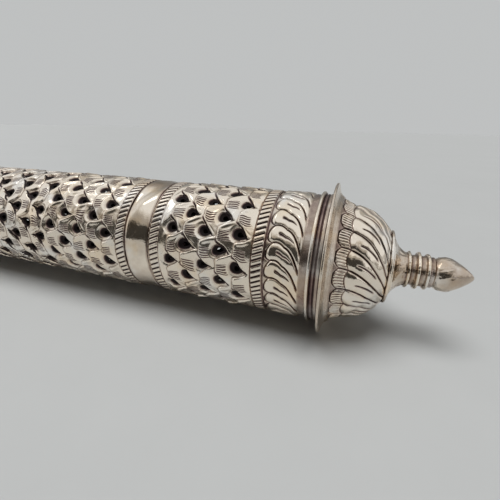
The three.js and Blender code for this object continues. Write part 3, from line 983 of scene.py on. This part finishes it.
def scale_lines(sheet):
    """The lines on a sleeve: a dark line in front of each outline, and a fan of strokes behind each tip."""
    pitch, half = sheet.pitch, sheet.half_scale
    stroke_pitch = sheet.sizes.stroke_pitch

    def engraving(tree):
        row, scale, _ = tree.parts(tree.node("ShaderNodeUVMap", {"uv_map": ORNAMENT}))
        lines = []
        for behind, aside, slope in scale_places(row, scale):
            steep = slope * (pitch / half)
            ahead = (2 - behind) * pitch / (1 + steep * steep) ** 0.5
            under = smooth(aside, 0, 0.35)
            outline = smooth(ahead - 0.3 * MM * under, 0.55 * MM, 0.2 * MM) * (0.42 + 0.58 * under)
            across = aside * half
            back = behind * pitch
            # The strokes part by 0.09 of their pitch with each millimetre behind the tip.
            fan = (across / (0.8 + 0.09 / MM * back) / stroke_pitch + 0.5) % 1
            stroke = smooth(abs(fan - 0.5), 0.36, 0.22) * smooth(abs(across), 1.75 * MM, 1.55 * MM)
            stroke = stroke * between(back, 0.35 * MM, 0.6 * MM, 3.6 * MM, 4.2 * MM)
            lines.append(greater(outline, stroke * 0.8))
        return greater(*lines) * smooth(row, *FIRST_OUTLINE)

    return engraving


# Operators, one for each group of like pieces.


def settings(context):
    return context.scene.scroll_holder


class FinishSleeves(Operator):
    """Pierced sleeves with their fish scales"""

    bl_idname = "scroll_holder.sleeves"
    bl_label = "Pierced sleeves"

    def execute(self, context):
        holder = settings(context)

        def sleeve(place, start, end, rows, columns, rings):
            sheet = ScaleSheet(start, end, rows, holder.scales)
            engraving = scale_lines(sheet)
            material = chased_silver("fish-scale silver, " + place, holder.silver, -0.12, engraving=engraving)
            return pierced_sleeve(sheet, holder.tube, columns, rings), material, "chased_silver"

        finish_piece("pierced_sleeve_middle", *sleeve("middle", -PLAIN_START, PLAIN_START, 11, 48, 9))
        finish_pair("pierced_sleeve", *sleeve("ends", SLEEVE_START, SLEEVE_END, 5, 64, 15))
        return {"FINISHED"}


class FinishPlainBands(Operator):
    """Plain polished bands between the sleeves"""

    bl_idname = "scroll_holder.plain_bands"
    bl_label = "Plain bands"

    def execute(self, context):
        holder = settings(context)
        tube = holder.tube
        inner, rebate = TUBE_RADIUS - tube.sheet, TUBE_RADIUS - tube.rebate_depth
        land_start, land_end = PLAIN_START + tube.rebate_width, PLAIN_END - tube.rebate_width
        easing = 0.25 * MM
        section = [
            (PLAIN_START, inner),
            (PLAIN_START, rebate),
            (land_start, rebate),
            (land_start, TUBE_RADIUS - easing / 2),
            *((x, TUBE_RADIUS) for x in np.linspace(land_start + easing, land_end - easing, 16)),
            (land_end, TUBE_RADIUS - easing / 2),
            (land_end, rebate),
            (PLAIN_END, rebate),
            (PLAIN_END, inner),
        ]
        recess = [0.6, 0.6, 0.6, 0.5, 0.3, *[0] * 14, 0.3, 0.5, 0.6, 0.6, 0.6]
        surface = turned(section, recess, 240, dents=0.17 * MM, fineness=2)
        material = chased_silver("polished silver", holder.silver, 0.14, -0.12, dents=0.03 * MM, patches=1.3)
        finish_pair("plain_band", surface, material, "polished_silver")
        return {"FINISHED"}


class FinishBorders(Operator):
    """Milled borders in their rebates"""

    bl_idname = "scroll_holder.borders"
    bl_label = "Borders"

    def execute(self, context):
        holder = settings(context)
        material = chased_silver("milled silver", holder.silver, -0.08)
        for node in ("border_inner", "border_outer", "border_leaf"):
            start, end, _ = span(node + "_right")
            finish_pair(node, border_surface(start, end, holder.tube), material, "chased_silver")
        return {"FINISHED"}


class FinishLeaves(Operator):
    """Leaf bands and domes, chased with swirling leaves"""

    bl_idname = "scroll_holder.leaves"
    bl_label = "Leaf bands and domes"

    def execute(self, context):
        holder = settings(context)
        material = chased_silver("leaf silver", holder.silver, -0.03, -0.07)
        finish_pair("leaf_band", leaf_band_surface(holder.leaves, holder.tube), material, "chased_silver")
        finish_pair("cap_dome", dome_surface(holder.leaves, holder.tube), material, "chased_silver")
        return {"FINISHED"}


class FinishMouths(Operator):
    """Lip and cove at the tube's mouths, and the bezels that slide into them"""

    bl_idname = "scroll_holder.mouths"
    bl_label = "Mouths and bezels"

    def execute(self, context):
        holder = settings(context)
        self.finish_mouldings(holder)
        self.finish_bezels(holder)
        return {"FINISHED"}

    def finish_mouldings(self, holder):
        tube = holder.tube
        inner = TUBE_RADIUS - tube.sheet
        bead = tube.lip_width / 2
        lip_end, lip_middle = LEAF_END + tube.lip_width, (LEAF_END + bead, LIP_RADIUS - bead)
        brim = (MOUTH, TUBE_RADIUS + tube.cove_height)
        cove = beside((lip_end, TUBE_RADIUS), [(0, 0.5), (0.3, 0.1), (0.9, 0.25), (1.4, 0.05)])
        cove = curve([*cove, *beside(brim, [(-0.9, 0), (-0.15, 0.1)])], 4)
        cove_recess = np.interp(np.linspace(0, 5, len(cove)), range(6), [0.55, 0.85, 0.45, 0.85, 0.3, 0.25])
        section = [
            (LEAF_END, inner),
            *half_circle(lip_middle, bead, 10),
            *cove,
            *beside(brim, [(0, -0.1)]),
            (MOUTH, inner),
        ]
        recess = [0.8, 0.6, 0.25, 0.1, *[0] * 6, 0.3, *cove_recess, 0.6, 0.7, 0.8]
        material = chased_silver("mouth silver", holder.silver, 0.06, 0.02, lathe=0.02 * MM)
        surface = turned(section, recess, 160, dents=0.02 * MM)
        finish_pair("mouth_moulding", surface, material, "dark_silver")

    def finish_bezels(self, holder):
        bevel = 0.2 * MM
        inner = BEZEL_RADIUS - holder.tube.sheet
        section = [
            (BEZEL_START, inner),
            (BEZEL_START, BEZEL_RADIUS - bevel),
            (BEZEL_START + bevel, BEZEL_RADIUS),
            *((x, BEZEL_RADIUS) for x in np.linspace(BEZEL_START, BEZEL_END, 8)[1:]),
            (BEZEL_END, inner),
        ]
        recess = [0.6, 0.3, 0.2, *[0.3] * 7, 0.7]
        material = chased_silver("bezel silver", holder.silver, 0.1, 0.12)
        finish_pair("cap_bezel", turned(section, recess, 128), material, "dark_silver")


class FinishRims(Operator):
    """Flared rims of the caps"""

    bl_idname = "scroll_holder.rims"
    bl_label = "Rims"

    def execute(self, context):
        holder = settings(context)
        clearance = 0.224 * MM
        inner = BEZEL_RADIUS + clearance
        bevel = 0.2 * MM
        edge_front, toe = RIM_START + 0.8 * MM, DOME_RADIUS + 0.5 * MM
        flare = beside((edge_front, RIM_RADIUS), [(0, -0.2), (0.25, -1.6), (0.9, -3.3)])
        flare = curve([*flare, (RIM_END, toe)], 8)
        section = [
            (RIM_START, inner),
            (RIM_START, RIM_RADIUS - 2 * MM),
            (RIM_START, RIM_RADIUS - bevel),
            (RIM_START + bevel, RIM_RADIUS),
            (edge_front - bevel, RIM_RADIUS),
            *flare,
            (RIM_END, inner),
        ]
        recess = [0.7, 0.45, 0.15, 0, 0, *np.linspace(0, 0.45, len(flare)) ** 2, 0.8]
        dents, lathe = 0.07 * MM, 0.05 * MM
        material = chased_silver("rim silver", holder.silver, 0.11, dents=dents, patches=0.6, lathe=lathe)
        finish_pair("cap_rim", turned(section, recess, 224), material, "polished_silver")
        return {"FINISHED"}


class FinishFinials(Operator):
    """Collars and finials, turned"""

    bl_idname = "scroll_holder.finials"
    bl_label = "Collars and finials"

    def execute(self, context):
        silver = settings(context).silver
        material = chased_silver("turned silver", silver, 0.1, -0.08, dents=0.11 * MM, patches=1.1)
        edge = 0.5 * MM
        section = [
            (COLLAR_START, STUD_HOLE),
            *half_circle((COLLAR_START + edge, COLLAR_RADIUS - edge), edge),
            (COLLAR_END, FOOT_RADIUS),
            (COLLAR_END, STUD_HOLE),
        ]
        recess = [0.8, 0.6, 0.3, *[0] * 6, 0.2, 0.7, 0.8]
        finish_pair("finial_collar", turned(section, recess, 128), material, "polished_silver")
        finial = turned(*finial_profile(), 96, dents=0.1 * MM, fineness=6)
        finish_pair("finial", finial, material, "polished_silver")
        return {"FINISHED"}


def finial_profile():
    """The finial's outline from its stud to its tip, and its recess: trumpet, three rings and bud."""
    neck, stud, bud_radius, ring_radius = 5 * MM, 1.8 * MM, 5.3 * MM, 0.5 * MM
    neck_end = COLLAR_END + 4.2 * MM
    ring_pitch = 2.7 * MM
    foot = beside((COLLAR_END, FOOT_RADIUS), [(0, 0), (0.5, -0.1)])
    trumpet = curve([*foot, *beside((COLLAR_END, neck), [(1.4, 2.8), (2.7, 1.3), (4.2, 0.25)])], 6)
    stud_bevel = beside((STUD_START, stud), [(0, -0.2), (0.2, 0)])
    points = [(STUD_START, 0), *stud_bevel, (COLLAR_END, stud), *trumpet]
    recess = [0.5, 0.5, 0.5, 0.8, 0.7, *[0.3] * 3, *np.linspace(0.05, 0.15, len(trumpet) - 4)]
    for i, height in enumerate((0.7 * MM, 0.9 * MM, 0.6 * MM)):
        middle = neck_end + (i + 0.4) * ring_pitch
        points += [*half_circle((middle, neck + height - ring_radius), ring_radius)]
        points += beside((middle, neck), [(0.9, -0.25), (1.7, -0.2)])
        recess += [0.4, 0.1, *[0] * 5, 0.1, 0.35, 0.45, 0.3]
    # The bud: shares of its length and of its radius.
    shares = [(0.01, 0.74), (0.15, 0.93), (0.31, 1), (0.46, 0.94), (0.62, 0.76), (0.77, 0.54), (0.92, 0.27)]
    shares += [(0.985, 0.1), (1, 0)]
    bud_start = neck_end + 7.8 * MM
    bud = curve([(bud_start + x * (FINIAL_END - bud_start), r * bud_radius) for x, r in shares], 6)
    recess += [0.45, 0.4, 0.3, 0.2, 0.12, *[0.05] * (len(bud) - 5)]
    # The curve may swing a little past the axis at the tip.
    along, radius = np.array([*points, *bud]).T
    return np.stack([along, np.maximum(radius, 0)], axis=-1), recess


class FinishFastenings(Operator):
    """Washers and nuts inside the domes, which stay as the frame has them"""

    bl_idname = "scroll_holder.fastenings"
    bl_label = "Washers and nuts"

    def execute(self, context):
        material = chased_silver("fastening silver", settings(context).silver, 0.35, 0.12)
        for node in ("finial_washer", "finial_nut"):
            for side in SIDES:
                frame["nodes"][f"{node}_{side}"].material_slots[0].material = material
        return {"FINISHED"}


class SetStage(Operator):
    """Pale floor, soft light and the camera"""

    bl_idname = "scroll_holder.stage"
    bl_label = "Stage"

    def execute(self, context):
        stage = settings(context).stage
        self.lay_floor(context, stage)
        self.hang_lamp(context, stage)
        self.light_sky(context, stage)
        self.place_camera(context, stage)
        return {"FINISHED"}

    def lay_floor(self, context, stage):
        reach = 6
        corners = [(-reach, -reach, 0), (reach, -reach, 0), (reach, reach, 0), (-reach, reach, 0)]
        mesh = bpy.data.meshes.new("floor")
        mesh.from_pydata(corners, [], [(0, 1, 2, 3)])
        material = bpy.data.materials.new("floor")
        tree = Tree(material)
        place = tree.node("ShaderNodeTexCoord", output="Object")
        clouds = tree.noise(place, 9, 3) * 0.6 + tree.noise(place, 60, 4) * 0.4
        darker, paler = ((*(part * change for part in stage.floor), 1) for change in (0.95, 1.05))
        tree.shade({"Base Color": tree.mix(clouds, darker, paler), "Roughness": 0.6})
        mesh.materials.append(material)
        floor = bpy.data.objects.new("floor", mesh)
        context.scene.collection.objects.link(floor)

    def hang_lamp(self, context, stage):
        """A high, wide lamp a little before the tube. It lights the floor, and metal doesn't show it."""
        light = bpy.data.lights.new("high lamp", "SUN")
        light.angle = math.radians(42)
        light.energy = stage.key
        lamp = bpy.data.objects.new("high lamp", light)
        lamp.rotation_mode = "QUATERNION"
        lamp.rotation_quaternion = Vector((0.1, 0.15, -1)).to_track_quat("-Z", "Y")
        lamp.visible_glossy = False
        context.scene.collection.objects.link(lamp)

    def light_sky(self, context, stage):
        """A dome of light: pale overhead and at both sides, and dim low down in front.

        The camera sees the plain backdrop instead. Metal and glass show it too, dimmed, where it is low
        behind.
        """
        world = bpy.data.worlds.new("studio")
        context.scene.world = world
        tree = Tree(world)
        right, back, height = tree.parts(tree.node("ShaderNodeTexCoord", output="Generated"))
        sides = smooth(abs(right), 0.62, 0.8) * smooth(height, -0.05, 0.2)
        lit = greater(sides, smooth(height, 0.6, 0.76))
        dim = 0.04 + 0.3 * smooth(height, 0.44, 0.54)
        # A brighter patch stands nearly overhead, a little to the left.
        from_spot = (right + 0.55) * (right + 0.55) + (back + 0.02) * (back + 0.02)
        light = dim + (0.8 - dim) * lit + 1.5 * smooth(from_spot, 0.03, 0.006) * lit
        colour = tree.mix(lit, (1.0, 0.94, 0.86, 1), (0.96, 0.98, 1.0, 1))
        kinds = ("Is Diffuse Ray", "Is Camera Ray", "Is Glossy Ray", "Is Transmission Ray")
        diffuse, seen, glossy, passing = (tree.node("ShaderNodeLightPath", output=kind) for kind in kinds)
        strength = light * (1 - 0.85 * diffuse) * stage.fill
        sky = tree.node("ShaderNodeBackground", {}, {"Color": colour, "Strength": strength})
        backdrop = tree.node("ShaderNodeBackground", {}, {"Color": (*stage.backdrop, 1)})
        behind = 0.45 * smooth(back, 0.2, 0.5) * (1 - lit)
        shown = greater(seen, greater(glossy, passing) * behind)
        mixed = tree.node("ShaderNodeMixShader", {}, {0: shown, 1: sky, 2: backdrop})
        tree.node("ShaderNodeOutputWorld", {}, {"Surface": mixed})

    def place_camera(self, context, stage):
        """The camera looks along +Y, turned by pan, tilt and roll."""
        data = bpy.data.cameras.new("camera")
        data.lens = stage.lens
        data.sensor_width = 36
        data.clip_start = 0.005
        camera = bpy.data.objects.new("camera", data)
        camera.location = stage.eye
        level = math.cos(stage.tilt)
        forward = Vector((-math.sin(stage.pan) * level, math.cos(stage.pan) * level, -math.sin(stage.tilt)))
        camera.rotation_mode = "QUATERNION"
        camera.rotation_quaternion = forward.to_track_quat("-Z", "Y") @ Quaternion((0, 0, 1), stage.roll)
        context.scene.collection.objects.link(camera)
        context.scene.camera = camera
        context.scene.view_settings.view_transform = "Standard"


OPERATORS = (
    FinishSleeves,
    FinishPlainBands,
    FinishBorders,
    FinishLeaves,
    FinishMouths,
    FinishRims,
    FinishFinials,
    FinishFastenings,
    SetStage,
)


class HolderPanel(Panel):
    """The scroll holder's operators and settings"""

    bl_idname = "VIEW3D_PT_scroll_holder"
    bl_label = "Scroll holder"
    bl_space_type = "VIEW_3D"
    bl_region_type = "UI"
    bl_category = "Scroll holder"

    def draw(self, context):
        holder = settings(context)
        for group in (holder.tube, holder.scales, holder.leaves, holder.silver, holder.stage):
            box = self.layout.box()
            for name in group.__annotations__:
                box.prop(group, name)
        for operator in OPERATORS:
            self.layout.operator(operator.bl_idname)


GROUPS = (TubeSizes, ScaleSizes, LeafSizes, SilverColours, StageSettings)
CLASSES = (*GROUPS, HolderSettings, *OPERATORS, HolderPanel)


def register():
    for kind in CLASSES:
        bpy.utils.register_class(kind)
    bpy.types.Scene.scroll_holder = PointerProperty(type=HolderSettings)


def unregister():
    del bpy.types.Scene.scroll_holder
    for kind in reversed(CLASSES):
        bpy.utils.unregister_class(kind)


def main():
    register()
    for operator in OPERATORS:
        group, name = operator.bl_idname.split(".")
        getattr(getattr(bpy.ops, group), name)()


if __name__ == "__main__":
    main()
